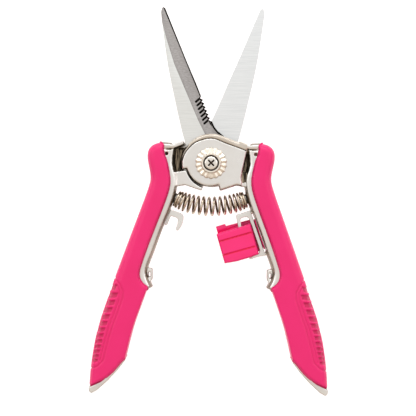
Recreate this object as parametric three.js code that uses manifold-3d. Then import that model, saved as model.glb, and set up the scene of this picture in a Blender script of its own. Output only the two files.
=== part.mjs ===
// Floral snips with straight needle-nose blades, a coil return spring and a thumb lock.
// Millimetres. The tool lies on its back: X to the right, Y towards the blade tips, Z up.
// The origin is on the pivot axis, in the plane that the grips rest on.
import * as THREE from "three";
import { mergeVertices } from "three/addons/utils/BufferGeometryUtils.js";
import Module from "manifold-3d";

const wasm = await Module();
wasm.setup();

// ---------------------------------------------------------------- driving dimensions
const toolDepth = 15; // depth of the grips; both halves are the same casting turned over
const gap = 0.3; // clearance between neighbouring pieces

const frameZ = [2, 13]; // cast frame, back to front
const frameDraft = { slope: 2.6, bulge: 0.9 }; // side walls lean out to the parting line
const plateZ = [9.8, 13]; // head plate of a frame
const coreZ = [3.5, 11.5]; // part of the frame that is buried in the grip
const gripRound = { slope: 4.2, bulge: 3.2, offset: -3.2, steps: 3 };

const bladeZ = [7.6, 9.7];
const edgeThickness = 0.35; // blade thickness left at the cutting edge
const tangRadius = 10.6;
const boreRadius = 4.3; // pivot bore of frames and blades

const plateRadius = 13.9;
const plateStep = { from: 193.5, to: 288.7, radius: [11.9, 10.9] }; // degrees about the pivot
const plateChamfer = 0.75;
const stopLug = { from: -71.3, to: -16.8, inner: 12.25, z: [2, 12.3] };
const floorRadius = 14.3; // inner edge of the thin floor between plate and band
const floorZ = [7.9, 9.9]; // it closes the groove in front of it and the pit behind it

const screwRadius = 2.5;
const screwHeadRadius = 3.1;
const nutAcrossFlats = 8;
const counterbore = { radius: 5.6, depth: 1.9 };
const washerRadius = 5.3;
const sleeveRadius = [2.8, 4];
const rosette = { inner: 3.55, collar: 4.8, outer: 7.05, scallop: 0.4, flutes: 18, z: [13.1, 14.3] };

const bladePinRadius = 1.5;
const bladePinCircle = 8.4;
const bladePinAngles = [118, 205];

const springWire = 1.15;
const springTurns = 15.5;
const springCoil = [3.33, 4.15]; // centre line radius of a turn, at the ends and in the middle
const springArc = { y: 20.1, radius: 40.4, halfAngle: 23.6 }; // the spring's bowed centre line
const pegRadius = 2.4;
const pegReach = 2.8;

const hookZ = [6, 9]; // catch hook and lock rail, in the middle of the depth
const sliderZ = { back: [3.6, 5.6], middle: [5.6, 9.4], face: [9.4, 12.4] };
const lipTop = 8.6;
const dowelRadius = 0.8;

// ---------------------------------------------------------------- materials
const paint = (color, roughness, metalness) =>
  new THREE.MeshStandardMaterial({ color, roughness, metalness });
const castMetal = paint(0xd8d4ce, 0.35, 0.9);
const bladeSteel = paint(0xc9c9c7, 0.28, 1);
const gripRubber = paint(0xf23778, 0.6, 0);
const lockPlastic = paint(0xfa3c7d, 0.45, 0);
const platedSteel = paint(0xddd8d0, 0.18, 1);
const springSteel = paint(0xb8b0a4, 0.2, 1);

// ---------------------------------------------------------------- solids from three.js shapes
function toSolid(geometry) {
  const bare = geometry.clone();
  bare.deleteAttribute("normal");
  bare.deleteAttribute("uv");
  const welded = mergeVertices(bare, 1e-4);
  const vertProperties = Float32Array.from(welded.attributes.position.array);
  const triVerts = Uint32Array.from(welded.index.array);
  return new wasm.Manifold(new wasm.Mesh({ numProp: 3, vertProperties, triVerts }));
}

function toMesh(name, solid, material) {
  const { vertProperties, triVerts } = solid.getMesh();
  const geometry = new THREE.BufferGeometry();
  geometry.setAttribute("position", new THREE.BufferAttribute(vertProperties, 3));
  geometry.setIndex(new THREE.BufferAttribute(triVerts, 1));
  geometry.computeVertexNormals();
  const mesh = new THREE.Mesh(geometry, material);
  mesh.name = name;
  return mesh;
}

const radians = THREE.MathUtils.degToRad;
const polar = (radius, degrees) => [
  radius * Math.cos(radians(degrees)),
  radius * Math.sin(radians(degrees)),
];

// Points of an arc about the pivot; the radius may change evenly along it.
function arc(radius, from, to, count, endRadius = radius) {
  return Array.from({ length: count + 1 }, (_, i) => {
    const t = i / count;
    return polar(radius + (endRadius - radius) * t, from + (to - from) * t);
  });
}

// A smooth edge through the given points.
function smooth(points, count) {
  const curve = new THREE.SplineCurve(points.map(([x, y]) => new THREE.Vector2(x, y)));
  return curve.getPoints(count).map((p) => [p.x, p.y]);
}

// A flat-faced solid of an outline. Its sides may lean: slope is the height of the leaning
// part at each face, bulge how far the middle stands out beyond the faces.
function slab(outline, [low, high], { slope = 0, bulge = 0, offset = 0, steps = 1 } = {}) {
  const shape = new THREE.Shape(outline.map(([x, y]) => new THREE.Vector2(x, y)));
  const geometry = new THREE.ExtrudeGeometry(shape, {
    depth: high - low - 2 * slope,
    bevelEnabled: slope > 0,
    bevelThickness: slope,
    bevelSize: bulge,
    bevelOffset: offset,
    bevelSegments: steps,
  });
  geometry.translate(0, 0, low + slope);
  return toSolid(geometry);
}

// The same solid, larger by the clearance all round: it cuts the pocket for its neighbour.
function pocket(outline, [low, high], draft) {
  const lean = draft ?? { slope: gap, bulge: gap };
  const grownOffset = draft ? gap : 0;
  return slab(outline, [low - gap, high + gap], { ...lean, offset: grownOffset });
}

function disc(radius, [low, high], [x, y] = [0, 0], sides = 40) {
  const geometry = new THREE.CylinderGeometry(radius, radius, high - low, sides);
  geometry.rotateX(Math.PI / 2);
  geometry.translate(x, y, (low + high) / 2);
  return toSolid(geometry);
}

function rod(start, end, radius, sides = 20) {
  const from = new THREE.Vector3(...start);
  const to = new THREE.Vector3(...end);
  const geometry = new THREE.CylinderGeometry(radius, radius, from.distanceTo(to), sides);
  const along = to.clone().sub(from).normalize();
  const turn = new THREE.Quaternion().setFromUnitVectors(new THREE.Vector3(0, 1, 0), along);
  geometry.applyQuaternion(turn);
  const middle = from.add(to).multiplyScalar(0.5);
  geometry.translate(middle.x, middle.y, middle.z);
  return toSolid(geometry);
}

function turned(profile, sides) {
  const geometry = new THREE.LatheGeometry(
    profile.map(([r, z]) => new THREE.Vector2(r, z)),
    sides,
  );
  geometry.rotateX(Math.PI / 2);
  return toSolid(geometry);
}

// A closed skin over rings that have the same number of points.
function loft(rings) {
  const count = rings[0].length;
  const positions = rings.flat(2);
  const index = [];
  for (let k = 0; k + 1 < rings.length; k++)
    for (let i = 0; i < count; i++) {
      const a = k * count + i;
      const b = k * count + ((i + 1) % count);
      index.push(a, b + count, b, a, a + count, b + count);
    }
  const last = (rings.length - 1) * count;
  for (let i = 1; i + 1 < count; i++) {
    index.push(0, i, i + 1);
    index.push(last, last + i + 1, last + i);
  }
  const geometry = new THREE.BufferGeometry();
  geometry.setAttribute("position", new THREE.Float32BufferAttribute(positions, 3));
  geometry.setIndex(index);
  return toSolid(geometry);
}

// ---------------------------------------------------------------- handle outlines
// All outlines are drawn for the half whose head plate is in front, with its handle at +X.
const gripOuterEdge = smooth(
  [
    [22.7, 9.7],
    [26.8, 8.8],
    [29.5, 6.2],
    [30, 1.7],
    [28.5, -6.5],
    [29.7, -12.6],
    [34.8, -26.8],
    [41.7, -45.8],
    [46.7, -60.1],
    [52.7, -79.1],
    [55.4, -95],
    [56.1, -104.95],
  ],
  33,
);
const gripTailEdge = smooth(
  [
    [56.1, -104.95],
    [50.4, -102.25],
    [45.1, -98.1],
    [41.1, -93.3],
    [39.3, -91.9],
  ],
  8,
);
const gripLowerInnerEdge = smooth(
  [
    [39.3, -91.9],
    [36.2, -79.1],
    [33.1, -69.6],
    [29.2, -58.7],
  ],
  9,
);
// The seam where the rubber meets the bare band, from the bottom up.
const gripSeam = smooth(
  [
    [29.2, -58.7],
    [31.4, -57.3],
    [33.2, -54.5],
    [33.2, -50],
    [28.6, -36.3],
    [21.5, -17.3],
    [19.6, -9],
    [20.8, -0.7],
    [22.5, 4.5],
    [22.7, 8.9],
  ],
  27,
);
const bandInnerEdge = smooth(
  [
    [17.6, 6.9],
    [18.4, -0.7],
    [16.7, -7.8],
    [18.3, -17.3],
    [23.8, -31.6],
    [27.1, -41.1],
    [29.9, -48.6],
    [30.4, -52],
    [29.6, -55.3],
    [28.1, -58.2],
  ],
  27,
);
const bandOutline = [...gripSeam, [19.3, 8.7], ...bandInnerEdge];
const coreOutline = [
  [22, 4.5],
  [25.5, 3.5],
  [23.8, -7.8],
  [30, -26.8],
  [36.6, -45.8],
  [41.8, -60.1],
  [47.4, -79.1],
  [50, -95],
  [50.6, -101.6],
  [52, -105.4],
  [50.4, -105],
  [44.8, -99.6],
  [42.2, -90],
  [38.6, -75],
  [35.2, -64],
  [31.6, -53.6],
  [25, -35],
  [20.4, -20],
  [18.4, -9],
  [20.6, -2],
];
const tailOutline = [
  [39.5, -93.4],
  [39.7, -92.2],
  [41.1, -93.6],
  [45.1, -98.4],
  [50.4, -103.1],
  [56.1, -105.9],
  [56.3, -106.6],
  [55.9, -108.1],
  [54.9, -108.7],
  [52.5, -107.4],
  [47.4, -102.8],
  [43.1, -98.1],
];
const eyeLugOutline = [
  [27.2, -50.2],
  [30.8, -49.4],
  [31.2, -55.4],
  [28.4, -56.4],
  [27.2, -55.2],
];
const eyeSlot = [
  [28.0, -51.5],
  [29.0, -51.5],
  [29.0, -54.1],
  [28.0, -54.1],
];

// The round head plate, with the recess that the other half's stop lug swings through.
const plateOutline = [
  ...arc(plateRadius, 67, plateStep.from, 24),
  ...arc(plateStep.radius[0], plateStep.from, plateStep.to, 18, plateStep.radius[1]),
  [4.4, -12.9],
  [12.2, -10.3],
  [15, -10.8],
  [14.4, -6.9],
  [14.7, -4.6],
  [17.1, 6.6],
  [18.3, 7.6],
  [12.8, 10],
];
// Deep wall below the head. Its ends are the closing and the opening stop.
const lugOutline = [
  ...arc(stopLug.inner, stopLug.from, stopLug.to, 9),
  [17.2, -4.5],
  [17.4, -7.8],
  [17.8, -11],
  [15, -10.8],
  [12.2, -10.3],
  [4.4, -12.9],
];
const floorOutline = [
  ...arc(floorRadius, -13.5, 28, 9),
  [17.8, 7.2],
  [19.5, 6],
  [19, -0.7],
  [17.4, -7.8],
  [13.9, -4.6],
];
// Deep rim along the top edge, from the band to the spine of the blade.
const rimOutline = [
  [13.2, 10.6],
  [18.2, 8.5],
  [21.6, 8.9],
  [21.2, 7.2],
  [18.1, 6.7],
  [13, 8.8],
];

// ---------------------------------------------------------------- lock outlines
const hookOutline = [
  [18.95, -22],
  [14.2, -23.6],
  [13.2, -24.3],
  [12.7, -25.4],
  [12.9, -27.1],
  [13.8, -30],
  [15.3, -32],
  [16, -31.8],
  [16.4, -31.2],
  [15.6, -29],
  [15.3, -26.8],
  [15.9, -25.9],
  [18.7, -25],
  [19.1, -25.6],
  [20.6, -29.4],
  [21.6, -29.4],
];
const railOutline = [
  [12.2, -24.8],
  [12.6, -24.1],
  [18.8, -22],
  [19.26, -23.2],
  [24.85, -39],
  [25.6, -41.2],
  [26.25, -42.2],
  [26.3, -43.3],
  [22.4, -44],
  [19.4, -45.2],
  [18.5, -44.7],
  [20.9, -43.3],
  [23.1, -42.4],
  [23.6, -40.9],
  [23, -39],
  [18.4, -26],
  [17.2, -25],
  [15, -25.5],
  [14.1, -26.4],
  [14.7, -29.2],
  [15.2, -30.9],
  [13.6, -31.1],
  [13.1, -29.4],
];
// Room beside the rail for the slider's lip, cut into the leaning wall of the band.
const railRelief = [
  [16, -23],
  [20.4, -23],
  [26.9, -41],
  [22, -41],
];
const sliderFace = [
  [2.9, -33.5],
  [18.8, -28.3],
  [23, -42.5],
  [18.4, -44.3],
  [12.9, -46],
  [7, -47.1],
];
// In the hook's plane the slider is cut away above the hook's path. The left end stays
// as a rib that stands behind the hook once the slider is pushed up.
const sliderMiddle = [
  [3.7, -36.2],
  [5.35, -35.95],
  [6.2, -38.8],
  [9, -38.4],
  [8.8, -31.9],
  [11.4, -31.1],
  [11.7, -34.6],
  [20, -34.2],
  [21.9, -41.4],
  [18.2, -43.6],
  [17.6, -44.2],
  [7.2, -46.7],
];
const sliderBack = [
  [3.3, -33.4],
  [17.6, -28.2],
  [21.4, -26.9],
  [25.75, -38.9],
  [22.4, -42.4],
  [7, -46.9],
];
const sliderLip = [
  [20.6, -26.2],
  [21.2, -26.1],
  [26.25, -40.3],
  [25.6, -40.3],
];
const sliderRod = { from: [6, -30.9, 4.4], to: [19, -27.3, 4.4], radius: 0.95 };
const sliderHead = { from: [3.1, -31.5, 3.9], to: [7.6, -30.1, 3.9], radius: 1.65 };
const ridgeLines = [
  [3.9, -37, 19.4, -32.4],
  [5.8, -43.4, 21.1, -39],
];
const ridge = { width: 0.5, depth: 0.6 };

// ---------------------------------------------------------------- blade outlines
const teeth = { count: 7, start: [-5.6, 30.97], pitch: [0.688, -1.71] };
const toothTip = [1.4, -0.75]; // from the start of a notch to the hooked point after it
const flute = { reach: [-2.1, -1.95], width: 1.05, floor: 0.32 };
const bladeSpine = smooth(
  [
    [-24.4, 72.2],
    [-24.3, 69],
    [-21.5, 49.2],
    [-18, 32.1],
    [-13.4, 13],
    [-11, 6.6],
  ],
  15,
);
const bladeTip = [
  [-22.1, 72.2],
  [-22.6, 73.4],
  [-23.4, 74],
  [-24.1, 73.6],
];
const tangArc = arc(tangRadius, 152, 408, 40);
const bladeHeel = [
  [8.2, 10],
  [5.85, 12.9],
  [3.1, 15.3],
  [1.45, 17.3],
  [0.2, 19.9],
];

// ---------------------------------------------------------------- blades
function notchPoints() {
  const points = [];
  for (let i = teeth.count - 1; i >= 0; i--) {
    const x = teeth.start[0] + i * teeth.pitch[0];
    const y = teeth.start[1] + i * teeth.pitch[1];
    if (i < teeth.count - 1) points.push([x + toothTip[0], y + toothTip[1]]);
    points.push([x, y]);
  }
  return points;
}

// The hollow grind: a trough whose floor meets the edge at edgeThickness.
function grindCutter() {
  const stations = [
    { at: [-23.3, 75.2], width: 3 },
    { at: [-17.3, 60.6], width: 4.9 },
    { at: [-12.5, 49.2], width: 6 },
    { at: [-7.5, 37.8], width: 6 },
    { at: [-1.5, 22.6], width: 5.4 },
    { at: [1.6, 15.2], width: 4.8 },
    { at: [3.2, 11.5], width: 4.8 },
  ];
  const away = new THREE.Vector2(0.92, 0.39); // from the spine towards the open jaw
  const top = bladeZ[1] - bladeZ[0];
  const floorAt = (s) => edgeThickness + (top - edgeThickness) * s ** 1.5;
  return loft(
    stations.map(({ at: [x, y], width }) => {
      const ring = [-0.35, 0, 0.25, 0.5, 0.75, 1].map((s) => [
        x - away.x * width * s,
        y - away.y * width * s,
        bladeZ[0] + (s < 0 ? edgeThickness : floorAt(s)),
      ]);
      ring.push([x - away.x * width, y - away.y * width, bladeZ[1] + 1]);
      ring.push([x + away.x * width * 0.35, y + away.y * width * 0.35, bladeZ[1] + 1]);
      return ring;
    }),
  );
}

function toothFlutes() {
  return Array.from({ length: teeth.count }, (_, i) => {
    const x = teeth.start[0] + i * teeth.pitch[0];
    const y = teeth.start[1] + i * teeth.pitch[1];
    const along = new THREE.Vector2(...flute.reach).normalize();
    const side = new THREE.Vector2(-along.y, along.x).multiplyScalar(flute.width / 2);
    const start = [x - along.x * 1.2, y - along.y * 1.2];
    const end = [x + flute.reach[0], y + flute.reach[1]];
    return slab(
      [
        [start[0] + side.x, start[1] + side.y],
        [end[0] + side.x, end[1] + side.y],
        [end[0] + along.x * 0.4, end[1] + along.y * 0.4],
        [end[0] - side.x, end[1] - side.y],
        [start[0] - side.x, start[1] - side.y],
      ],
      [bladeZ[0] + flute.floor, bladeZ[1] + 1],
    );
  });
}

function blade(serrated) {
  const edge = serrated ? notchPoints() : [[-1.4, 23.2]];
  const outline = [
    ...bladeSpine,
    ...tangArc,
    ...bladeHeel,
    ...edge,
    [-5.1, 31.9],
    [-7.5, 37.8],
    [-12.5, 49.2],
    ...bladeTip,
  ];
  let solid = slab(outline, bladeZ).subtract(grindCutter());
  solid = solid.subtract(disc(boreRadius, [bladeZ[0] - 1, bladeZ[1] + 1]));
  for (const at of bladePinPlaces())
    solid = solid.subtract(disc(bladePinRadius + gap, [bladeZ[0] - 1, bladeZ[1] + 1], at, 20));
  if (serrated) for (const cut of toothFlutes()) solid = solid.subtract(cut);
  return solid;
}

function bladePinPlaces() {
  return bladePinAngles.map((degrees) => polar(bladePinCircle, degrees));
}

// ---------------------------------------------------------------- frame and grip
const pegAxis = [Math.cos(radians(springArc.halfAngle)), Math.sin(radians(springArc.halfAngle))];
const springEnd = [
  springArc.radius * Math.sin(radians(springArc.halfAngle)),
  springArc.y - springArc.radius * Math.cos(radians(springArc.halfAngle)),
];
const alongPeg = (distance) => [
  springEnd[0] + distance * pegAxis[0],
  springEnd[1] + distance * pegAxis[1],
  toolDepth / 2,
];

// Dowels that fix the hook or the rail to the wall of its band.
const hookDowels = [{ from: [17.2, -23.6, 7.5], to: [21.1, -22.2, 7.5] }];
const railDowels = [
  { from: [16.6, -23.9, 7.5], to: [21.2, -22.3, 7.5] },
  { from: [24, -43, 7.5], to: [28.9, -42.1, 7.5] },
];

// The plate is chamfered along its outer face only.
function headPlate() {
  const chamfer = { slope: plateChamfer, bulge: plateChamfer, offset: -plateChamfer };
  return slab(plateOutline, [frameZ[0], plateZ[1]], chamfer).intersect(slab(plateOutline, plateZ));
}

function frame({ screwSide, dowels, relief }) {
  let solid = slab(bandOutline, frameZ, frameDraft)
    .add(slab(lugOutline, stopLug.z))
    .add(slab(floorOutline, floorZ))
    .add(slab(rimOutline, frameZ))
    .add(headPlate())
    .add(slab(coreOutline, coreZ))
    .add(slab(tailOutline, frameZ))
    .add(slab(eyeLugOutline, [4.5, 10.5]))
    .add(rod(alongPeg(4), alongPeg(-pegReach), pegRadius, 24));
  solid = solid.subtract(slab(eyeSlot, [3, 12]));
  solid = solid.subtract(disc(boreRadius, [0, toolDepth]));
  for (const at of bladePinPlaces())
    solid = solid.subtract(disc(bladePinRadius + gap, [plateZ[0] - 1, plateZ[0] + 1.9], at, 20));
  if (!screwSide)
    solid = solid.subtract(
      disc(counterbore.radius, [frameZ[1] - counterbore.depth, toolDepth]),
    );
  if (relief)
    solid = solid.subtract(slab(railRelief, [sliderZ.back[0] - gap, toolDepth]));
  for (const { from, to } of dowels)
    solid = solid.subtract(rod(from, beyond(from, to), dowelRadius + gap));
  return solid;
}

// The end of a dowel's hole: its length plus the clearance.
function beyond(from, to) {
  const length = Math.hypot(to[0] - from[0], to[1] - from[1]);
  const t = (length + gap) / length;
  return [from[0] + (to[0] - from[0]) * t, from[1] + (to[1] - from[1]) * t, to[2]];
}

function grip() {
  const outline = [...gripOuterEdge, ...gripTailEdge, ...gripLowerInnerEdge, ...gripSeam];
  const widened = [
    ...gripOuterEdge.slice(0, -1),
    [57, -114],
    [36, -98],
    [30, -84],
    [22, -62],
    [24, -48],
    [12, -16],
    [11, -6],
    [15, 9],
    [20, 10],
  ];
  return slab(widened, [0, toolDepth], gripRound)
    .intersect(slab(outline, [0, toolDepth]))
    .subtract(pocket(bandOutline, frameZ, frameDraft))
    .subtract(pocket(coreOutline, coreZ))
    .subtract(pocket(tailOutline, frameZ))
    .subtract(pocket(eyeLugOutline, [4.5, 10.5]));
}

// ---------------------------------------------------------------- pivot
function rosetteSolid() {
  const sides = rosette.flutes * 6;
  const rim = Array.from({ length: sides }, (_, i) => {
    const degrees = (360 * i) / sides;
    const wave = Math.cos(radians(degrees * rosette.flutes));
    return polar(rosette.outer + rosette.scallop * wave, degrees);
  });
  let solid = slab(rim, rosette.z).subtract(disc(rosette.inner, [0, toolDepth]));
  for (let i = 0; i < rosette.flutes; i++) {
    const angle = (360 * (i + 0.5)) / rosette.flutes;
    const inner = polar(rosette.collar + 0.2, angle);
    const outer = polar(rosette.outer + 2, angle);
    const start = [...inner, rosette.z[1] + 0.55];
    const end = [...outer, rosette.z[1] + 0.05];
    solid = solid.subtract(rod(start, end, 1, 12));
  }
  return solid;
}

function screwSolid() {
  const head = rosette.z[1] + 0.1;
  const seat = plateZ[1] + 0.1;
  let solid = turned(
    [
      [0, 0],
      [screwRadius - 0.4, 0],
      [screwRadius, 0.4],
      [screwRadius, seat],
      [screwHeadRadius, seat],
      [screwHeadRadius, head - 0.4],
      [screwHeadRadius - 0.5, head - 0.05],
      [0, head + 0.1],
    ],
    40,
  );
  for (const degrees of [45, 135]) {
    const side = polar(0.38, degrees + 90);
    const end = polar(1.9, degrees);
    const arm = [
      [end[0] + side[0], end[1] + side[1]],
      [-end[0] + side[0], -end[1] + side[1]],
      [-end[0] - side[0], -end[1] - side[1]],
      [end[0] - side[0], end[1] - side[1]],
    ];
    solid = solid.subtract(slab(arm, [head - 1.1, head + 1]));
  }
  return solid;
}

function ring(radii, z, sides = 40) {
  return disc(radii[1], z, [0, 0], sides).subtract(disc(radii[0], [z[0] - 1, z[1] + 1]));
}

function nutSolid() {
  const corner = nutAcrossFlats / Math.sqrt(3);
  return disc(corner, [0.3, 3.2], [0, 0], 6).subtract(disc(screwRadius + gap, [0, toolDepth]));
}

// ---------------------------------------------------------------- return spring
class SpringWire extends THREE.Curve {
  getPoint(t) {
    const fromMiddle = 2 * t - 1;
    // the turns lie about half as far apart at the ends as in the middle
    const place = fromMiddle * (1.32 - 0.32 * fromMiddle ** 2);
    const bow = radians(springArc.halfAngle * place);
    const coil = springCoil[0] + (springCoil[1] - springCoil[0]) * (1 - fromMiddle ** 4);
    const turn = 2 * Math.PI * springTurns * t;
    const outwards = springArc.radius + coil * Math.cos(turn);
    return new THREE.Vector3(
      outwards * Math.sin(bow),
      springArc.y - outwards * Math.cos(bow),
      toolDepth / 2 + coil * Math.sin(turn),
    );
  }
}

function springSolid() {
  const section = new THREE.Shape();
  section.absarc(0, 0, springWire / 2, 0, 2 * Math.PI);
  const geometry = new THREE.ExtrudeGeometry(section, {
    extrudePath: new SpringWire(),
    steps: Math.round(springTurns * 12),
    curveSegments: 3,
    bevelEnabled: false,
  });
  return toSolid(geometry);
}

// ---------------------------------------------------------------- lock
function sliderSolid() {
  let solid = slab(sliderBack, sliderZ.back)
    .add(slab(sliderMiddle, sliderZ.middle))
    .add(slab(sliderFace, sliderZ.face, { slope: 0.6, bulge: 0.6, offset: -0.6 }))
    .add(slab(sliderLip, [sliderZ.back[0], lipTop]))
    .add(rod(sliderRod.from, sliderRod.to, sliderRod.radius, 16))
    .add(rod(sliderHead.from, sliderHead.to, sliderHead.radius, 20));
  for (const [x0, y0, x1, y1] of ridgeLines)
    solid = solid.subtract(
      slab(
        [
          [x0 - 2, y0 - 0.6],
          [x1 + 2, y1 + 0.6],
          [x1 + 2, y1 + 0.6 + ridge.width],
          [x0 - 2, y0 - 0.6 + ridge.width],
        ],
        [sliderZ.face[1] - ridge.depth, toolDepth],
      ),
    );
  return solid;
}

function hookSolid() {
  let solid = slab(hookOutline, hookZ);
  for (const { from, to } of hookDowels)
    solid = solid.subtract(rod(beyond(to, from), to, dowelRadius + gap));
  return solid;
}

function railSolid() {
  let solid = slab(railOutline, hookZ);
  for (const { from, to } of railDowels)
    solid = solid.subtract(rod(beyond(to, from), to, dowelRadius + gap));
  return solid;
}

// ---------------------------------------------------------------- assembly
const snips = new THREE.Group();

function addHalf(prefix, { screwSide, dowels, relief }) {
  const half = new THREE.Group();
  half.add(toMesh(`${prefix}_frame`, frame({ screwSide, dowels, relief }), castMetal));
  half.add(toMesh(`${prefix}_grip`, grip(), gripRubber));
  half.add(toMesh(`${prefix}_blade`, blade(screwSide), bladeSteel));
  bladePinPlaces().forEach((at, i) => {
    const pin = disc(bladePinRadius, [bladeZ[0], plateZ[0] + 1.6], at, 20);
    half.add(toMesh(`${prefix}_blade_pin_${i + 1}`, pin, platedSteel));
  });
  snips.add(half);
  return half;
}

function addDowels(half, prefix, dowels) {
  dowels.forEach(({ from, to }, i) => {
    half.add(toMesh(`${prefix}_dowel_${i + 1}`, rod(from, to, dowelRadius), platedSteel));
  });
}

const frontHalf = addHalf("front", { screwSide: true, dowels: railDowels, relief: true });
frontHalf.add(toMesh("lock_rail", railSolid(), castMetal));
frontHalf.add(toMesh("lock_slider", sliderSolid(), lockPlastic));
addDowels(frontHalf, "rail", railDowels);

const rearHalf = addHalf("rear", { screwSide: false, dowels: hookDowels, relief: false });
rearHalf.add(toMesh("catch_hook", hookSolid(), castMetal));
addDowels(rearHalf, "hook", hookDowels);
rearHalf.rotation.y = Math.PI;
rearHalf.position.z = toolDepth;

snips.add(toMesh("pivot_screw", screwSolid(), platedSteel));
snips.add(toMesh("pivot_rosette", rosetteSolid(), platedSteel));
snips.add(toMesh("pivot_sleeve", ring(sleeveRadius, [3.95, 12.95]), platedSteel));
snips.add(toMesh("nut_washer", ring([screwRadius + gap, washerRadius], [3.3, 3.8]), platedSteel));
snips.add(toMesh("pivot_nut", nutSolid(), platedSteel));
snips.add(toMesh("return_spring", springSolid(), springSteel));

export default snips;
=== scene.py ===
import math

import bpy
import numpy as np
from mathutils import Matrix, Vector
from mathutils.bvhtree import BVHTree


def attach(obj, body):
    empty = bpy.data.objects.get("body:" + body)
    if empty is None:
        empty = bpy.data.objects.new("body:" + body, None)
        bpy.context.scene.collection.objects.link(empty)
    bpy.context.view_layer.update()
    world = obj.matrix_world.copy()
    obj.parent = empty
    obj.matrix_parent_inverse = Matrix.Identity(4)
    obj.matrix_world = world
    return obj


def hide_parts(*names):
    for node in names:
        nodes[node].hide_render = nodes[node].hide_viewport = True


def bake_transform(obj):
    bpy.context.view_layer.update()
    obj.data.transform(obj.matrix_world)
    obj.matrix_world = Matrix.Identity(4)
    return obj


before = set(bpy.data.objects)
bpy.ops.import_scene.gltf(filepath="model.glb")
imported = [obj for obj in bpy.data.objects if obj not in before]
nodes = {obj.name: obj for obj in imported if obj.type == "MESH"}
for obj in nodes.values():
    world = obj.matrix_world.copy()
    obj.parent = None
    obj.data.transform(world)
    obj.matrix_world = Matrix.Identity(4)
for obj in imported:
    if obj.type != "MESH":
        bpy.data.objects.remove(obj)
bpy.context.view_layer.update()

mm = 0.001
toolDepth = 15  # in mm, from the back at Z = 0 to the front
halves = {"front": "front_handle", "rear": "rear_handle"}

meshValues = {
    "mergeWithin": 0.02 * mm,
    "flatWithin": math.radians(0.6),
    "smoothBelow": math.radians(35),
}


def hexColour(text):
    # sRGB hex to the linear colour that the shader works in
    parts = [int(text[i:i + 2], 16) / 255 for i in (0, 2, 4)]
    return (*[p / 12.92 if p <= 0.04045 else ((p + 0.055) / 1.055) ** 2.4 for p in parts], 1)


def selectOnly(piece):
    bpy.ops.object.select_all(action="DESELECT")
    piece.select_set(True)
    bpy.context.view_layer.objects.active = piece


def applyModifier(piece, kind, **settings):
    selectOnly(piece)
    modifier = piece.modifiers.new(kind.title(), kind)
    for name, value in settings.items():
        setattr(modifier, name, value)
    bpy.ops.object.modifier_apply(modifier=modifier.name)


def copyOfNode(nodeName, pieceName):
    # a loose copy of a CAD node, with its doubles merged and its flat faces whole again
    source = nodes[nodeName]
    selectOnly(source)
    bpy.ops.object.duplicate()
    piece = bpy.context.view_layer.objects.active
    piece.name = pieceName
    piece.parent = None
    for key in list(piece.keys()):
        del piece[key]
    piece.data.materials.clear()
    bpy.ops.object.mode_set(mode="EDIT")
    bpy.ops.mesh.select_all(action="SELECT")
    bpy.ops.mesh.remove_doubles(threshold=meshValues["mergeWithin"])
    bpy.ops.mesh.dissolve_degenerate(threshold=meshValues["mergeWithin"])
    bpy.ops.mesh.dissolve_limited(angle_limit=meshValues["flatWithin"])
    bpy.ops.mesh.customdata_custom_splitnormals_clear()
    bpy.ops.object.mode_set(mode="OBJECT")
    return piece


def softenEdges(piece, width, segments=3, sharperThan=32):
    applyModifier(piece, "BEVEL", width=width, segments=segments, limit_method="ANGLE",
                  angle_limit=math.radians(sharperThan))
    bpy.ops.object.shade_smooth_by_angle(angle=meshValues["smoothBelow"])
    applyModifier(piece, "WEIGHTED_NORMAL", keep_sharp=True, weight=80)  # flat faces shade flat


def tumbleSmooth(piece, grid, rounds):
    # a fine even mesh with every edge worn round, as a casting or moulding comes out
    applyModifier(piece, "REMESH", mode="VOXEL", voxel_size=grid)
    applyModifier(piece, "SMOOTH", factor=0.5, iterations=rounds)
    bpy.ops.object.shade_smooth()


def addMaterials(piece, *materials):
    for material in materials:
        piece.data.materials.append(material)


def finishPiece(piece, body, nodeName):
    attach(piece, body)
    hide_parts(nodeName)


def pointsOf(piece):
    points = np.empty(len(piece.data.vertices) * 3)
    piece.data.vertices.foreach_get("co", points)
    return points.reshape(-1, 3)


def normalsOf(piece):
    normals = np.empty(len(piece.data.vertices) * 3)
    piece.data.vertices.foreach_get("normal", normals)
    return normals.reshape(-1, 3)


def setPoints(piece, points):
    piece.data.vertices.foreach_set("co", points.ravel())
    piece.data.update()


def ease(share):
    share = np.clip(share, 0, 1)
    return share * share * (3 - 2 * share)


def smoothPath(points, steps):
    # a curve through the points
    points = np.array([points[0], *points, points[-1]], dtype=float)
    path = []
    for before, start, end, after in zip(points, points[1:], points[2:], points[3:]):
        for t in np.arange(steps) / steps:
            path.append(0.5 * (2 * start + (end - before) * t
                               + (2 * before - 5 * start + 4 * end - after) * t ** 2
                               + (3 * (start - end) + after - before) * t ** 3))
    return [*path, points[-1]]


def distanceToPath(xy, path):
    # shortest distance in the plane from each point to a line through the path's points
    best = np.full(len(xy), 1e9)
    for a, b in zip(path[:-1], path[1:]):
        a, b = np.array(a) * mm, np.array(b) * mm
        t = np.clip((xy - a) @ (b - a) / ((b - a) @ (b - a)), 0, 1)
        best = np.minimum(best, np.linalg.norm(xy - a - t[:, None] * (b - a), axis=1))
    return best


def addNode(tree, kind, settings=None, inputs=None):
    # a new node; an input is either another node's output or a plain value
    node = tree.nodes.new(kind)
    for name, value in (settings or {}).items():
        setattr(node, name, value)
    for name, value in (inputs or {}).items():
        if isinstance(value, bpy.types.NodeSocket):
            tree.links.new(value, node.inputs[name])
        else:
            node.inputs[name].default_value = value
    return node


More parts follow.
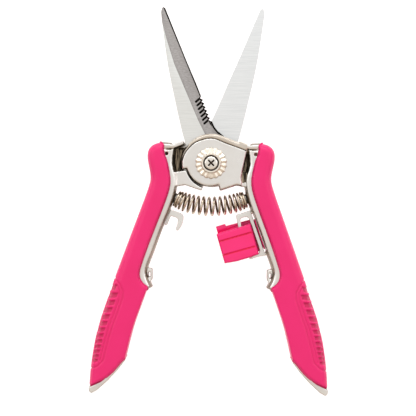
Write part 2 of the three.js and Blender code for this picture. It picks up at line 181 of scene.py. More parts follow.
def startMaterial(name, **shaderValues):
    material = bpy.data.materials.new(name)
    material.use_nodes = True
    tree = material.node_tree
    tree.nodes.clear()
    shader = addNode(tree, "ShaderNodeBsdfPrincipled", inputs=shaderValues)
    addNode(tree, "ShaderNodeOutputMaterial", inputs={"Surface": shader.outputs["BSDF"]})
    place = addNode(tree, "ShaderNodeTexCoord").outputs["Object"]
    return material, tree, shader, place


def noiseAt(tree, place, size, detail=3, stretch=(1, 1, 1), turn=0):
    # noise whose grains are about size metres; stretch lengthens them along the turned axes
    mapped = addNode(tree, "ShaderNodeMapping", inputs={
        "Vector": place, "Rotation": (0, 0, turn), "Scale": tuple(1 / s for s in stretch)})
    return addNode(tree, "ShaderNodeTexNoise", {"noise_dimensions": "3D"}, {
        "Vector": mapped.outputs["Vector"], "Scale": 1 / size, "Detail": detail,
    }).outputs["Fac"]


def rangeOf(tree, value, low, high, start=0.3, end=0.7):
    return addNode(tree, "ShaderNodeMapRange", {"clamp": True}, {
        "Value": value, "From Min": start, "From Max": end, "To Min": low, "To Max": high,
    }).outputs["Result"]


def blendColours(tree, factor, first, second):
    return addNode(tree, "ShaderNodeMix", {"data_type": "RGBA"}, {
        0: factor, 6: first, 7: second}).outputs[2]


def bumpFrom(tree, shader, height, strength, depth):
    bump = addNode(tree, "ShaderNodeBump", inputs={
        "Height": height, "Strength": strength, "Distance": depth})
    tree.links.new(bump.outputs["Normal"], shader.inputs["Normal"])


def castNickelMaterial(name, pale, shade):
    # die-cast alloy with a satin nickel finish: even, pale, with a faint cast skin
    material, tree, shader, place = startMaterial(name, Metallic=0.92)
    cloud = noiseAt(tree, place, 9 * mm)
    skin = noiseAt(tree, place, 0.45 * mm, detail=4)
    metal = blendColours(tree, rangeOf(tree, cloud, 0, 1), hexColour(pale), hexColour(shade))
    # a dark brown line is painted along the plate's crease as shade, where the creaseShade attribute is
    # set
    crease = addNode(tree, "ShaderNodeAttribute", {"attribute_name": "creaseShade"}).outputs["Fac"]
    inCrease = rangeOf(tree, crease, 0, 1, start=0.15, end=0.75)
    colour = blendColours(tree, inCrease, metal, hexColour("3B3229"))
    tree.links.new(colour, shader.inputs["Base Color"])
    tree.links.new(rangeOf(tree, cloud, 0.27, 0.36), shader.inputs["Roughness"])
    bumpFrom(tree, shader, skin, 0.12, 0.03 * mm)
    return material


def streakedRecessShadeMaterial():
    # dark brown streaks painted as shade in the deep places, running along the wall
    material, tree, shader, place = startMaterial("streakedRecessPaintedShade", Metallic=0.9, Roughness=0.4)
    streaks = noiseAt(tree, place, 0.55 * mm, detail=3, stretch=(1, 9, 9), turn=math.radians(-6))
    colour = blendColours(tree, rangeOf(tree, streaks, 0, 1, start=0.42, end=0.68),
                          hexColour("2E2720"), hexColour("A3937C"))
    tree.links.new(colour, shader.inputs["Base Color"])
    bumpFrom(tree, shader, streaks, 0.4, 0.1 * mm)
    return material


def groundSteelMaterial(name, turn, pale, dark, lineSize, lineLength, bump, roughness):
    # stainless steel with grinding lines: fine across, long along the turned X axis
    material, tree, shader, place = startMaterial(name, Metallic=0.95)
    lines = noiseAt(tree, place, lineSize, detail=4, stretch=(lineLength / lineSize, 1, 1), turn=turn)
    cloud = noiseAt(tree, place, 14 * mm, detail=2)
    both = addNode(tree, "ShaderNodeMath", {"operation": "MULTIPLY_ADD"}, {
        0: cloud, 1: 0.35, 2: rangeOf(tree, lines, 0, 0.65)}).outputs[0]
    colour = blendColours(tree, both, hexColour(pale), hexColour(dark))
    tree.links.new(colour, shader.inputs["Base Color"])
    tree.links.new(rangeOf(tree, lines, roughness, roughness + 0.1), shader.inputs["Roughness"])
    bumpFrom(tree, shader, lines, bump, 0.02 * mm)
    return material


def platedMaterial(name, pale, shade, roughness):
    # bright nickel plate over steel: nearly a mirror, with slight ripples
    material, tree, shader, place = startMaterial(name, Metallic=1.0)
    ripple = noiseAt(tree, place, 1.6 * mm, detail=2)
    colour = blendColours(tree, rangeOf(tree, ripple, 0, 1), hexColour(pale), hexColour(shade))
    tree.links.new(colour, shader.inputs["Base Color"])
    tree.links.new(rangeOf(tree, ripple, roughness, roughness + 0.06), shader.inputs["Roughness"])
    bumpFrom(tree, shader, ripple, 0.1, 0.02 * mm)
    return material


def springWireMaterial():
    # drawn wire with a bright plate outside; the side of each turn that faces the coil's middle is
    # painted dull brown as shade
    material, tree, shader, place = startMaterial("platedSpringWire", Metallic=1.0)
    inside = addNode(tree, "ShaderNodeAttribute", {"attribute_name": "coilInside"}).outputs["Fac"]
    drawn = noiseAt(tree, place, 0.8 * mm, detail=2)
    bright = blendColours(tree, rangeOf(tree, drawn, 0, 1), hexColour("E2D6C6"), hexColour("B7A58D"))
    insideShade = rangeOf(tree, inside, 0, 1, start=0.5, end=0.8)
    colour = blendColours(tree, insideShade, bright, hexColour("6B5645"))
    tree.links.new(colour, shader.inputs["Base Color"])
    tree.links.new(rangeOf(tree, drawn, 0.26, 0.36), shader.inputs["Roughness"])
    bumpFrom(tree, shader, drawn, 0.08, 0.02 * mm)
    return material


def softRubberMaterial():
    # thermoplastic rubber moulded in a spark-eroded tool: matt, with a fine pebbled skin
    material, tree, shader, place = startMaterial("pinkSoftRubber", **{"Specular IOR Level": 0.42})
    pebbles = noiseAt(tree, place, 0.32 * mm, detail=3)
    cloud = noiseAt(tree, place, 16 * mm, detail=2)
    skin = blendColours(tree, rangeOf(tree, cloud, 0, 1), hexColour("EE1D73"), hexColour("E91A6D"))
    # the pockets and the pad lines are painted darker pink as shade
    pressed = addNode(tree, "ShaderNodeAttribute", {"attribute_name": "pressedInShade"}).outputs["Fac"]
    deep = rangeOf(tree, pressed, 0, 1, start=0.2, end=0.9)
    colour = blendColours(tree, deep, skin, hexColour("CB1359"))
    tree.links.new(colour, shader.inputs["Base Color"])
    tree.links.new(rangeOf(tree, pebbles, 0.36, 0.48), shader.inputs["Roughness"])
    bumpFrom(tree, shader, pebbles, 0.16, 0.04 * mm)
    return material


def lockPlasticMaterial(name, pale, shade):
    # moulded nylon, smoother and a little glossier than the rubber
    material, tree, shader, place = startMaterial(name, **{"Specular IOR Level": 0.5})
    flow = noiseAt(tree, place, 6 * mm, detail=2, stretch=(3, 1, 1))
    grain = noiseAt(tree, place, 0.25 * mm)
    colour = blendColours(tree, rangeOf(tree, flow, 0, 1), hexColour(pale), hexColour(shade))
    tree.links.new(colour, shader.inputs["Base Color"])
    tree.links.new(rangeOf(tree, grain, 0.34, 0.44), shader.inputs["Roughness"])
    bumpFrom(tree, shader, grain, 0.1, 0.03 * mm)
    return material


bladeTurn = math.radians(-67.5)  # the open blades' edges run about 67.5 degrees from X
castNickel = castNickelMaterial("satinNickelCasting", "EAE8E4", "E0DDD8")
# a brown copy of the nickel, painted as shade on the side walls of the castings and brackets
castWallShade = castNickelMaterial("castNickelWallShade", "9C9082", "7F7467")
# a darker, warmer copy of the nickel, painted as shade on the rim beyond the crease
castRimShade = castNickelMaterial("castNickelRimShade", "DAD1C5", "CABFB1")
# dark streaked material, painted as shade in the castings' pit, groove and pinhole
castRecessShade = streakedRecessShadeMaterial()
bladeFlat = groundSteelMaterial(
    "polishedBladeSteel", bladeTurn, "EDEEEB", "DADBD8", 0.3 * mm, 9 * mm, 0.06, 0.3)
bladeGrind = groundSteelMaterial(
    "hollowGroundSteel", math.radians(-20), "B0ACAA", "8E8A88", 0.35 * mm, 7 * mm, 0.2, 0.38)
bladeRear = groundSteelMaterial(
    "brushedBladeSteel", math.radians(25), "F0F2F2", "DEE1E2", 0.4 * mm, 10 * mm, 0.08, 0.33)
# near-black steel, painted as shade on the honed edge, the heel line and the flute walls
edgeShade = groundSteelMaterial(
    "edgePaintedShadeSteel", bladeTurn, "17130F", "080706", 0.3 * mm, 3 * mm, 0.1, 0.45)
rosettePlate = platedMaterial("polishedNickelPlate", "F1E9DD", "E7DCCD", 0.33)
# near-black brown nickel, painted as shadow in the gap round the screw's head and in its cross recess
gapShadow = castNickelMaterial("paintedShadowGap", "40342A", "241B14")
brightPlate = platedMaterial("brightNickelPlate", "F6F1E9", "E6DFD4", 0.14)
springPlate = springWireMaterial()
softRubber = softRubberMaterial()
lockPlastic = lockPlasticMaterial("pinkNylon", "F82379", "F41E70")
# a deeper pink copy of the nylon, painted as shade in the two finger lines
lockLineShade = lockPlasticMaterial("pinkNylonLineShade", "EA0E50", "DF0B4A")
print("materials made")


castValues = {
    "frameGrid": 0.3 * mm,
    "bracketGrid": 0.2 * mm,
    "smoothing": 5,
    "wallTilt": 0.7,  # faces whose normal is flatter than this are side walls
    "pressFrom": (2.5, 5),  # distance from the middle plane where pressing starts and is full
    "bandLimits": (16, 6.2),  # the bare band lies beyond this X and below this Y
    "bandInner": ((17.6, 6.9), (18.4, -0.7), (16.7, -7.8), (18.3, -17.3), (23.8, -31.6),
                  (27.1, -41.1), (29.9, -48.6), (30.4, -52), (29.6, -55.3), (28.1, -58.2)),
    "bandSteps": 6,
    "bandRound": 1.5,
    "bandDrop": 0.45 * mm,
    "bossX": (17.2, 24),
    "bossY": (6.4, 9.6),
    "bossDrop": 0.7 * mm,
    "bossLine": ((18.6, 6.4), (22.6, 6)),
    "bossLineReach": 0.45,
    "bossLineDepth": 0.5 * mm,
    "bossPit": (21, 4.2),
    "pitRadius": 0.75,
    "pitDepth": 0.9 * mm,
    "pitWall": (1.6, 1.2),  # full depth to half the radius, none from a third beyond it
    "pitShade": (3, 5.2),  # the dark part of the pinhole, from the middle plane
    "plateCrease": ((-13.6, 1.5), (-12.9, 3.4), (-11.5, 5.8), (-8.6, 8.9), (-6, 10.3), (-3, 11.3),
                    (0.2, 11.7), (3.1, 11), (6.5, 9.6), (11.3, 7.9), (16.3, 6.1)),
    "creaseSteps": 5,
    "creaseAbove": 4.5,
    "creaseReach": 0.42,
    "creaseDepth": 0.4 * mm,
    "creaseShadeReach": 0.5 * mm,
    "creaseShadeAbove": 12 * mm,
    "rimBeyond": 0.15,
    "rimLimits": (17, 1.5, 11.8),  # the rim is left of this X, above this Y and in front of this Z
    "recessBeyond": 13.5,  # the pit and the groove beside the head plate
    "recessX": (11.5, 20),
    "recessY": (-9, 7.8),
    "recessZ": (2.6, 12.5),
    "stepRadius": (11.2, 13),  # the narrow groove round the stepped side of the plate
    "stepDegrees": (192, 289),
    "stepZ": (7.6, 12.8),
}


def centresOf(piece):
    centres = np.empty(len(piece.data.polygons) * 3)
    piece.data.polygons.foreach_get("center", centres)
    return centres.reshape(-1, 3) / mm


def wallsOf(piece):
    normals = np.empty(len(piece.data.polygons) * 3)
    piece.data.polygons.foreach_get("normal", normals)
    return np.abs(normals[2::3]) < castValues["wallTilt"]


def roundBand(casting, side):
    # the bare band is crowned, and its top end is a small barrel with a pinhole below it
    values = castValues
    points = pointsOf(casting)
    flat = np.column_stack((points[:, 0] * side, points[:, 1]))
    x, y = flat.T / mm
    depth = points[:, 2] / mm - toolDepth / 2
    start, full = values["pressFrom"]
    facing = np.clip((np.abs(depth) - start) / (full - start), 0, 1) * np.sign(depth)
    drop = np.zeros(len(points))
    onBand = (x > values["bandLimits"][0]) & (y < values["bandLimits"][1])
    away = distanceToPath(flat, smoothPath(values["bandInner"], values["bandSteps"])) / mm
    drop += np.where(onBand, np.clip(1 - away / values["bandRound"], 0, 1) ** 2, 0) * values["bandDrop"]
    low, high = values["bossY"]
    left, right = values["bossX"]
    onBoss = (x > left) & (x < right) & (y > low)
    middle, half = (low + high) / 2, (high - low) / 2
    drop += np.where(onBoss, np.clip(np.abs(y - middle) / half, 0, 1) ** 2, 0) * values["bossDrop"]
    line = distanceToPath(flat, values["bossLine"]) / mm
    drop += ease(1 - line / values["bossLineReach"]) * values["bossLineDepth"]
    # the raised face of the plate stops short of its upper rim
    crease = distanceToPath(flat, smoothPath(values["plateCrease"], values["creaseSteps"])) / mm
    onPlate = (depth > values["creaseAbove"]) == (side > 0)
    drop += np.where(onPlate, ease(1 - crease / values["creaseReach"]) * values["creaseDepth"], 0)
    pit = np.hypot(x - values["bossPit"][0], y - values["bossPit"][1]) / values["pitRadius"]
    flatPart, fall = values["pitWall"]
    drop += ease(flatPart - fall * pit) * values["pitDepth"]
    points[:, 2] -= drop * facing
    setPoints(casting, points)


def paintCasting(casting, side):
    # painted shade: the narrow pit, groove and pinhole get a dark streaked material, the rim beyond the
    # crease a darker warm copy of the nickel, the side walls a brown copy, and a dark line runs along
    # the plate's crease
    values = castValues
    addMaterials(casting, castNickel, castRecessShade, castRimShade, castWallShade)
    worldX, y, worldZ = centresOf(casting).T
    turned = (-worldX, toolDepth - worldZ)
    x, z = (worldX, worldZ) if side > 0 else turned
    inside = np.hypot(x, y) > values["recessBeyond"]
    for value, key in ((x, "recessX"), (y, "recessY"), (z, "recessZ")):
        low, high = values[key]
        inside &= (low < value) & (value < high)
    for acrossX, upZ in ((worldX, worldZ), turned):
        radius, degrees = np.hypot(acrossX, y), np.degrees(np.arctan2(y, acrossX)) % 360
        inStep = np.full(len(y), True)
        for value, key in ((radius, "stepRadius"), (degrees, "stepDegrees"), (upZ, "stepZ")):
            low, high = values[key]
            inStep &= (low < value) & (value < high)
        inside |= inStep
    pit = np.hypot(x - values["bossPit"][0], y - values["bossPit"][1])
    pitNear, pitFar = values["pitShade"]
    depth = np.abs(z - toolDepth / 2)
    inside |= (pit < values["pitRadius"]) & (depth < pitFar) & (depth > pitNear)
    path = smoothPath(values["plateCrease"], values["creaseSteps"])
    crease = distanceToPath(np.column_stack((x, y)) * mm, path) / mm
    # the rim beyond the crease gets the darker warm copy of the nickel, painted as shade
    rimX, rimY, rimZ = values["rimLimits"]
    beyond = np.hypot(x, y) > np.interp(np.degrees(np.arctan2(y, x)), *creaseRadii(path))
    onRim = beyond & (x < rimX) & (y > rimY) & (z > rimZ) & (crease > values["rimBeyond"])
    # index 1 is the painted recess shade, 2 the painted rim shade, 3 the painted wall shade
    material = np.where(inside, 1, np.where(onRim, 2, np.where(wallsOf(casting), 3, 0)))
    casting.data.polygons.foreach_set("material_index", material)
    points = pointsOf(casting) * (side, 1, side) + (0, 0, 0 if side > 0 else toolDepth * mm)
    # a dark line painted as shade along the crease on the plate's face
    shade = ease(1 - distanceToPath(points[:, :2], path) / values["creaseShadeReach"])
    mark = casting.data.attributes.new("creaseShade", "FLOAT", "POINT")
    mark.data.foreach_set("value", shade * (points[:, 2] > values["creaseShadeAbove"]))


def creaseRadii(path):
    # how far the crease is from the pivot at each angle, in order of the angle
    x, y = np.array(path).T
    degrees = np.degrees(np.arctan2(y, x))
    order = np.argsort(degrees)
    return degrees[order], np.hypot(x, y)[order]


for half, body in halves.items():
    casting = copyOfNode(f"{half}_frame", f"{half}_casting")
    tumbleSmooth(casting, castValues["frameGrid"], castValues["smoothing"])
    side = 1 if half == "front" else -1
    roundBand(casting, side)
    paintCasting(casting, side)
    finishPiece(casting, body, f"{half}_frame")

for nodeName, pieceName, body in (("lock_rail", "rail_bracket", "front_handle"),
                                  ("catch_hook", "hook_bracket", "rear_handle")):
    bracket = copyOfNode(nodeName, pieceName)
    tumbleSmooth(bracket, castValues["bracketGrid"], castValues["smoothing"])
    addMaterials(bracket, castNickel, castWallShade)
    # the brackets' side walls are painted brown as shade
    bracket.data.polygons.foreach_set("material_index", wallsOf(bracket).astype(int))
    finishPiece(bracket, body, nodeName)
print("castings made")


bladeValues = {
    "spineEdge": 0.1 * mm,
    "edgeLine": ((-12.5, 49.2), (0.92, 0.39)),  # a point of the cutting edge, and across it
    "heel": ((0.2, 19.9), (1.45, 17.3), (3.1, 15.3), (5.85, 12.9)),
    "honedWidth": 0.55 * mm,
    "heelWidth": 0.85 * mm,
    "toothReach": 1.1 * mm,
    "straightEdgeY": (19.9, 73),
    "heelRegion": (1.3, 10),  # the heel's ground face is beyond this X and above this Y
    "fluteFloor": 7.97,
    "fluteBox": ((-8.2, 18.4), (0.6, 32.2)),
    "tilt": (0.3, 0.5, 0.998),  # walls stay under the first, faces over the second, flats over the third
}


def paintBlade(piece, flat, side):
    # sorts the faces by their place: flat sides, hollow grind, and the honed edge, heel line and flute
    # walls, which get a near-black steel painted as shade
    values = bladeValues
    point, across = values["edgeLine"]
    (lowX, lowY), (highX, highY) = values["fluteBox"]
    edgeStart, edgeEnd = values["straightEdgeY"]
    heelX, grindY = values["heelRegion"]
    wallTilt, faceTilt, flatTilt = values["tilt"]
    addMaterials(piece, flat, bladeGrind, edgeShade)
    heelAway = distanceToPath(centresOf(piece)[:, :2] * (side, 1) * mm, values["heel"])
    for face, away in zip(piece.data.polygons, heelAway):
        x, y, z = face.center / mm
        x, z = (x, z) if side > 0 else (-x, toolDepth - z)
        up = face.normal.z * side
        outwards = ((x - point[0]) * across[0] + (y - point[1]) * across[1]) * mm
        inFlutes = lowX < x < highX and lowY < y < highY and side > 0
        deep = z < values["fluteFloor"] and up > faceTilt or abs(up) < wallTilt
        onFlute = inFlutes and (deep or outwards > -values["toothReach"])
        onEdge = edgeStart < y < edgeEnd and outwards > -values["honedWidth"]
        onHeel = away < values["heelWidth"]
        inHollow = up < flatTilt and y > grindY
        besideHeel = x > heelX and grindY < y < edgeStart
        if up > -faceTilt and (onFlute or onEdge or onHeel):
            face.material_index = 2
        elif up > faceTilt and (inHollow or besideHeel):
            face.material_index = 1


def makeBlade(half, side, flat):
    values = bladeValues
    blade = copyOfNode(f"{half}_blade", f"{half}_blade_ground")
    point, across = values["edgeLine"]
    cuts = [(point, across, values["honedWidth"]), (point, across, values["toothReach"])]
    for start, end in zip(values["heel"], values["heel"][1:]):
        along = Vector(end) - Vector(start)
        cuts.append((start, (-along.y, along.x), values["heelWidth"]))
    bpy.ops.object.mode_set(mode="EDIT")
    for start, outwards, depth in cuts:
        outwards = Vector(outwards).normalized()
        place = Vector(start) * mm - outwards * depth
        bpy.ops.mesh.select_all(action="SELECT")
        bpy.ops.mesh.bisect(plane_co=(place.x * side, place.y, 0),
                            plane_no=(outwards.x * side, outwards.y, 0))
    bpy.ops.object.mode_set(mode="OBJECT")
    softenEdges(blade, values["spineEdge"], segments=2, sharperThan=50)
    paintBlade(blade, flat, side)
    finishPiece(blade, halves[half], f"{half}_blade")


makeBlade("front", 1, bladeFlat)
makeBlade("rear", -1, bladeRear)
print("blades made")


gripValues = {
    "grid": 0.42 * mm,
    "smoothing": 5,
    "outerEdge": ((28.4, -6), (29.7, -12.6), (34.8, -26.8), (41.7, -45.8), (46.7, -60.1),
                  (52.7, -79.1), (55.4, -95), (56.1, -104.95)),
    "pocketTop": -59.1,
    "pocketCount": 13,
    "pocketStep": (3.75, -0.075),  # the distance to the next pocket, and its change each time
    "pocketHalfHeight": (1.2, 0.74),  # from the top pocket to the last
    "pocketReach": (4.7, 3.3),
    "topPocketReach": 2.7,
    "pocketDepth": 0.75 * mm,
    "pocketRim": 0.4,
    "pocketSlant": 0.1,
    "pocketWall": 0.5,
    "endRound": (0.6, 0.3),  # the rounding of a pocket's ends, as shares of its half height
    "padLine": ((45.2, -53.9), (42.1, -57.4), (40.6, -60.4), (40.5, -63.5), (41.5, -66.6),
                (43.4, -72.1), (45.3, -77.2), (46.9, -83), (48.3, -88.4), (49.4, -93.1),
                (52.2, -95.9), (56.6, -97.5)),
    "padLineWidth": 0.55 * mm,
    "padLineDepth": 0.5 * mm,
    "padBand": 1.5,
    "lineShade": 0.5,
    "seamReach": 0.9 * mm,
    "seamGap": 0.05 * mm,
}


def edgeAt(y):
    edge = np.array(gripValues["outerEdge"])[::-1]
    return np.interp(y, edge[:, 1], edge[:, 0])


def pocketPress(x, y):
    # 13 long pockets inside the outer edge, closer together and smaller towards the tail
    values = gripValues
    press = np.zeros(len(x))
    last = values["pocketCount"] - 1
    step, change = values["pocketStep"]
    endStart, endReach = values["endRound"]
    inwards = edgeAt(y) - x
    for i in range(values["pocketCount"]):
        middle = values["pocketTop"] - step * i - change * i * i
        halfHeight = np.interp(i, (0, last), values["pocketHalfHeight"])
        reach = np.interp(i, (0, last), values["pocketReach"]) if i else values["topPocketReach"]
        fromMiddle = y - middle - values["pocketSlant"] * inwards
        past = np.maximum(inwards - (reach - endStart * halfHeight), values["pocketRim"] - inwards)
        pastEnd = np.maximum(past, 0) - endReach * halfHeight
        outside = np.maximum(np.abs(fromMiddle) - halfHeight, pastEnd)
        press = np.maximum(press, ease(0.5 - outside / values["pocketWall"]))
    return press


def gripPress(points, side):
    # how far each point belongs to a pocket, and to the two lines round the pockets' pad
    values = gripValues
    flat = np.column_stack((points[:, 0] * side, points[:, 1]))
    outerLine = np.array(values["padLine"])
    innerLine = outerLine + np.array((values["padBand"], 0))
    toLine = np.minimum(distanceToPath(flat, outerLine), distanceToPath(flat, innerLine[1:-2]))
    return pocketPress(flat[:, 0] / mm, flat[:, 1] / mm), ease(1 - toLine / values["padLineWidth"])


def closeSeam(grip, casting):
    # moulded rubber lies tight against the casting
    surface = BVHTree.FromPolygons([point.co for point in casting.data.vertices],
                                   [face.vertices[:] for face in casting.data.polygons])
    points, normals = pointsOf(grip), normalsOf(grip)
    for i, point in enumerate(points):
        away = surface.find_nearest(Vector(point), gripValues["seamReach"])[3]
        if away:
            points[i] += normals[i] * max(away - gripValues["seamGap"], 0)
    setPoints(grip, points)


def makeGrip(half, side):
    grip = copyOfNode(f"{half}_grip", f"{half}_soft_grip")
    tumbleSmooth(grip, gripValues["grid"], gripValues["smoothing"])
    points, normals = pointsOf(grip), normalsOf(grip)
    pockets, lines = gripPress(points, side)
    depth = pockets * gripValues["pocketDepth"] + lines * gripValues["padLineDepth"]
    setPoints(grip, points - normals * depth[:, None])
    # the pockets, and the pad lines at half strength, are painted darker as shade
    mark = grip.data.attributes.new("pressedInShade", "FLOAT", "POINT")
    mark.data.foreach_set("value", np.maximum(pockets, lines * gripValues["lineShade"]))
    closeSeam(grip, bpy.data.objects[f"{half}_casting"])
    addMaterials(grip, softRubber)
    finishPiece(grip, halves[half], f"{half}_grip")


makeGrip("front", 1)
makeGrip("rear", -1)
print("grips made")


sliderValues = {
    "grid": 0.2 * mm,
    "smoothing": 2,
    "lines": (((3.9, -37), (19.4, -32.4)), ((5.8, -43.4), (21.1, -39))),
    "lineHalf": 0.34 * mm,
    "lineFloor": 11.2,
}
slider = copyOfNode("lock_slider", "lock_thumb_block")
tumbleSmooth(slider, sliderValues["grid"], sliderValues["smoothing"])
addMaterials(slider, lockPlastic, lockLineShade)
# the two finger lines on the slider's face are painted deeper pink as shade
centres = centresOf(slider)
toLine = np.minimum(*[distanceToPath(centres[:, :2] * mm, line) for line in sliderValues["lines"]])
inLine = (toLine < sliderValues["lineHalf"]) & (centres[:, 2] > sliderValues["lineFloor"])
slider.data.polygons.foreach_set("material_index", inLine.astype(int))
finishPiece(slider, "lock", "lock_slider")
print("lock made")


rosetteValues = {
    "flutes": 18,
    "stepsPerFlute": 12,
    "rings": ((3.16, 13.15), (3.2, 13.25), (3.58, 13.3), (3.62, 14.0), (3.75, 14.26), (4.0, 14.32),
              (4.4, 14.3), (4.7, 14.15), (4.85, 14.02), (5.4, 13.98), (6.1, 13.92), (6.8, 13.8),
              (7.3, 13.66), (7.55, 13.5), (7.45, 13.12)),  # radius and height
    "underside": (13.2, 13.5),  # heights between which the flutes fade out
    "fluteFrom": 4.4,
    "fluteDepth": 0.38,
    "fluteRise": 3,
    "notch": 0.5,
    "darkWithin": 3.72,  # painted shadow in the narrow gap round the screw's head
    "smoothBelow": math.radians(22),
}


def makeRosette():
    values = rosetteValues
    count = values["flutes"] * values["stepsPerFlute"]
    first = values["rings"][0]
    bpy.ops.object.select_all(action="DESELECT")
    bpy.ops.mesh.primitive_circle_add(vertices=count, radius=first[0] * mm, fill_type="NOTHING",
                                      location=(0, 0, first[1] * mm))
    rosette = bpy.context.view_layer.objects.active
    rosette.name = "fluted_rosette"
    bpy.ops.object.transform_apply(location=True, rotation=True, scale=True)
    bpy.ops.object.mode_set(mode="EDIT")
    bpy.ops.mesh.select_all(action="SELECT")
    for before, ring in zip(values["rings"][:-1], values["rings"][1:]):
        grow = ring[0] / before[0]
        bpy.ops.mesh.extrude_edges_indiv()
        bpy.ops.transform.translate(value=(0, 0, (ring[1] - before[1]) * mm))
        bpy.ops.transform.resize(value=(grow, grow, 1), center_override=(0, 0, ring[1] * mm))
    bpy.ops.mesh.select_all(action="DESELECT")
    bpy.ops.mesh.select_mode(type="EDGE")
    bpy.ops.mesh.select_non_manifold()
    bpy.ops.mesh.bridge_edge_loops()  # closes the underside
    bpy.ops.mesh.select_all(action="SELECT")
    bpy.ops.mesh.normals_make_consistent(inside=False)
    bpy.ops.object.mode_set(mode="OBJECT")
    return rosette


def fluteRosette(rosette):
    # each flute is a V that deepens outwards and notches the rim
    values = rosetteValues
    points = pointsOf(rosette)
    radius = np.hypot(points[:, 0], points[:, 1]) / mm
    share = np.arctan2(points[:, 1], points[:, 0]) / (2 * math.pi) * values["flutes"]
    hollow = 1 - 2 * np.abs(share - np.round(share))
    outer = values["rings"][-2][0]
    low, high = values["underside"]
    reach = np.clip((radius - values["fluteFrom"]) / (outer - values["fluteFrom"]), 0, 1)
    top = np.clip((points[:, 2] / mm - low) / (high - low), 0, 1)
    fall = hollow * np.minimum(reach * values["fluteRise"], 1) * top
    points[:, 2] -= values["fluteDepth"] * mm * fall
    points[:, :2] *= (1 - values["notch"] / outer * hollow * reach ** values["fluteRise"])[:, None]
    setPoints(rosette, points)
    addMaterials(rosette, rosettePlate, gapShadow)
    # the rosette's inner faces round the screw get the painted shadow
    for face in rosette.data.polygons:
        if face.center.xy.length < values["darkWithin"] * mm:
            face.material_index = 1


rosette = makeRosette()
fluteRosette(rosette)
selectOnly(rosette)
bpy.ops.object.shade_smooth_by_angle(angle=rosetteValues["smoothBelow"])
finishPiece(rosette, "front_handle", "pivot_rosette")

screwValues = {
    "recessWithin": 2.3,
    "recessBelow": (0.12 * mm, 2.5 * mm),  # from the top of the head
    "headSide": 2.95,
    "sideTilt": 0.5,
}


def darkenScrew(screw):
    # the cross recess and the side of the head are painted dark as shadow
    values = screwValues
    addMaterials(screw, brightPlate, gapShadow)
    top = max(point.co.z for point in screw.data.vertices)
    shallow, deep = values["recessBelow"]
    for face in screw.data.polygons:
        away = face.center.xy.length / mm
        inRecess = away < values["recessWithin"] and shallow < top - face.center.z < deep
        if inRecess or (away > values["headSide"] and abs(face.normal.z) < values["sideTilt"]):
            face.material_index = 1


for nodeName, pieceName, edge in (("pivot_screw", "cross_head_screw", 0.12),
                                  ("pivot_nut", "hex_nut", 0.3),
                                  ("nut_washer", "plain_washer", 0.08),
                                  ("pivot_sleeve", "pivot_bush", 0.15)):
    part = copyOfNode(nodeName, pieceName)
    softenEdges(part, edge * mm)
    if nodeName == "pivot_screw":
        darkenScrew(part)
    else:
        addMaterials(part, brightPlate)
    finishPiece(part, "front_handle", nodeName)
print("pivot made")


springValues = {
    "turns": 15.5,
    "bunching": 0.32,  # how much closer the turns lie towards both ends
    "wire": 1.15 * mm,
    "coil": (3.33 * mm, 4.15 * mm),
    "arcCentreY": 20.1 * mm,
    "arcRadius": 40.4 * mm,
    "halfAngle": math.radians(23.6),
    "stepsPerTurn": 36,
    "middleZ": toolDepth / 2 * mm,
    "smoothBelow": math.radians(50),
}


def springPoint(t):
    values = springValues
    fromMiddle = 2 * t - 1
    bunching = values["bunching"]
    bow = values["halfAngle"] * fromMiddle * (1 + bunching - bunching * fromMiddle ** 2)
    endCoil, middleCoil = values["coil"]
    coil = endCoil + (middleCoil - endCoil) * (1 - fromMiddle ** 4)
    turn = 2 * math.pi * values["turns"] * t
    outwards = values["arcRadius"] + coil * math.cos(turn)
    return (outwards * math.sin(bow), values["arcCentreY"] - outwards * math.cos(bow),
            values["middleZ"] + coil * math.sin(turn), 1)


def makeSpring():
    values = springValues
    count = round(values["turns"] * values["stepsPerTurn"])
    bpy.ops.curve.primitive_nurbs_path_add()
    spring = bpy.context.view_layer.objects.active
    spring.name = "coil_spring"
    spring.data.splines.clear()
    spline = spring.data.splines.new("POLY")
    spline.points.add(count)
    for i, point in enumerate(spline.points):
        point.co = springPoint(i / count)
    spring.data.dimensions = "3D"
    spring.data.bevel_depth = values["wire"] / 2
    spring.data.bevel_resolution = 3
    spring.data.use_fill_caps = True
    selectOnly(spring)
    bpy.ops.object.convert(target="MESH")
    spring = bpy.context.view_layer.objects.active
    bpy.ops.object.mode_set(mode="EDIT")
    bpy.ops.mesh.select_all(action="SELECT")
    bpy.ops.mesh.remove_doubles(threshold=0.001 * mm)
    bpy.ops.mesh.normals_make_consistent(inside=False)
    bpy.ops.object.mode_set(mode="OBJECT")
    bpy.ops.object.shade_smooth_by_angle(angle=values["smoothBelow"])
    return spring


def markCoilInside(spring):
    # painted-shade mask: 0 on the outer side of each turn, 1 on the side that faces the coil's middle
    values = springValues
    points = pointsOf(spring)
    fromArc = np.hypot(points[:, 0], points[:, 1] - values["arcCentreY"]) - values["arcRadius"]
    fromCoil = np.hypot(fromArc, points[:, 2] - values["middleZ"])
    bow = np.arctan2(points[:, 0], values["arcCentreY"] - points[:, 1]) / values["halfAngle"]
    endCoil, middleCoil = values["coil"]
    coil = endCoil + (middleCoil - endCoil) * (1 - np.clip(np.abs(bow), 0, 1) ** 4)
    inside = np.clip(0.5 - (fromCoil - coil) / values["wire"], 0, 1)
    mark = spring.data.attributes.new("coilInside", "FLOAT", "POINT")
    mark.data.foreach_set("value", inside)


spring = makeSpring()
markCoilInside(spring)
addMaterials(spring, springPlate)
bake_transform(spring)
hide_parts("return_spring")
print("spring made")

# the pins and dowels keep their CAD shapes
for nodeName, node in nodes.items():
    if "pin_" in nodeName or "dowel" in nodeName:
        node.data.materials.clear()
        addMaterials(node, brightPlate)


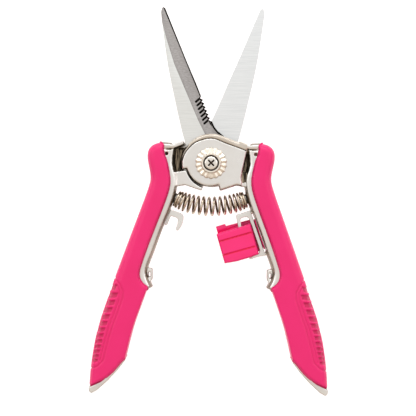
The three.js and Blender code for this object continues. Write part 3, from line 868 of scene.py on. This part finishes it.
studioValues = {
    "floorDepth": -60 * mm,
    "floorSize": 6,
    "floorGlow": 0.25,
    "cameraCentre": (-1.2 * mm, -21.1 * mm),
    "lens": 85,
    "sensor": 36,
    "fieldWidth": 197.6 * mm,
    "roll": math.radians(0.7),
    "tent": ((0, 0.95), (0.1, 0.95), (0.13, 0.04), (0.32, 0.04), (0.42, 0.8), (0.6, 0.92),
             (0.93, 0.92), (0.985, 0.84)),  # height on the sky from below, and its brightness
    "tentStrength": 1.1,
    "warmSide": "E2D2C2",
    "warmFrom": (-0.55, 0.2),
    # name, place, target, size and watts of each soft light
    "lights": (("farSoftbox", (0, 0.98, 0.62), (0, 0, 0), (1.3, 0.3), 5.5),
               ("leftSoftbox", (-0.9, 0.35, 0.75), (0, -0.02, 0), (0.6, 0.9), 1.6),
               ("rightSoftbox", (0.9, 0.25, 0.6), (0, -0.02, 0), (0.5, 0.8), 1.1)),
}


def makeFloor():
    values = studioValues
    bpy.ops.mesh.primitive_plane_add(size=values["floorSize"], location=(0, 0, values["floorDepth"]))
    floor = bpy.context.view_layer.objects.active
    floor.name = "studio_floor"
    material, tree, shader, place = startMaterial("whitePaper", **{
        "Roughness": 0.9, "Emission Color": (1, 1, 1, 1), "Emission Strength": values["floorGlow"]})
    cloud = noiseAt(tree, place, 0.4)
    colour = blendColours(tree, rangeOf(tree, cloud, 0, 1), hexColour("FFFFFF"), hexColour("FDFDFD"))
    tree.links.new(colour, shader.inputs["Base Color"])
    addMaterials(floor, material)


def addSoftLight(name, place, target, size, power):
    bpy.ops.object.light_add(type="AREA", location=place)
    light = bpy.context.view_layer.objects.active
    light.name = name
    light.rotation_euler = (Vector(target) - Vector(place)).to_track_quat("-Z", "Y").to_euler()
    light.data.shape = "RECTANGLE"
    light.data.size, light.data.size_y = size
    light.data.energy = power


def makeWorld():
    # a white tent seen in the metal: a bright top and sides, with a dark gap above the table
    values = studioValues
    world = bpy.data.worlds.new("studioWorld")
    bpy.context.scene.world = world
    world.use_nodes = True
    tree = world.node_tree
    tree.nodes.clear()
    place = addNode(tree, "ShaderNodeTexCoord").outputs["Generated"]
    way = addNode(tree, "ShaderNodeSeparateXYZ", inputs={"Vector": place})
    ramp = addNode(tree, "ShaderNodeValToRGB", inputs={"Fac": way.outputs["Z"]})
    stops = ramp.color_ramp.elements
    for at, level in values["tent"]:
        stop = stops[0] if at == 0 else stops.new(at)
        stop.color = (level, level, level, 1)
    stops.remove(stops[-1])
    strength = addNode(tree, "ShaderNodeMath", {"operation": "MULTIPLY"}, {
        0: ramp.outputs["Color"], 1: values["tentStrength"]}).outputs[0]
    start, end = values["warmFrom"]
    nearSide = rangeOf(tree, way.outputs["Y"], 1, 0, start=start, end=end)
    colour = blendColours(tree, nearSide, hexColour("FFFFFF"), hexColour(values["warmSide"]))
    background = addNode(tree, "ShaderNodeBackground", inputs={"Color": colour, "Strength": strength})
    addNode(tree, "ShaderNodeOutputWorld", inputs={"Surface": background.outputs["Background"]})


makeFloor()
for light in studioValues["lights"]:
    addSoftLight(*light)
makeWorld()

distance = studioValues["fieldWidth"] * studioValues["lens"] / studioValues["sensor"]
bpy.ops.object.camera_add(
    location=(*studioValues["cameraCentre"], toolDepth / 2 * mm + distance),
    rotation=(0, 0, studioValues["roll"]))
camera = bpy.context.view_layer.objects.active
camera.data.lens = studioValues["lens"]
camera.data.clip_start = 0.01
bpy.context.scene.camera = camera
bpy.context.scene.view_settings.view_transform = "Standard"
print("studio made")
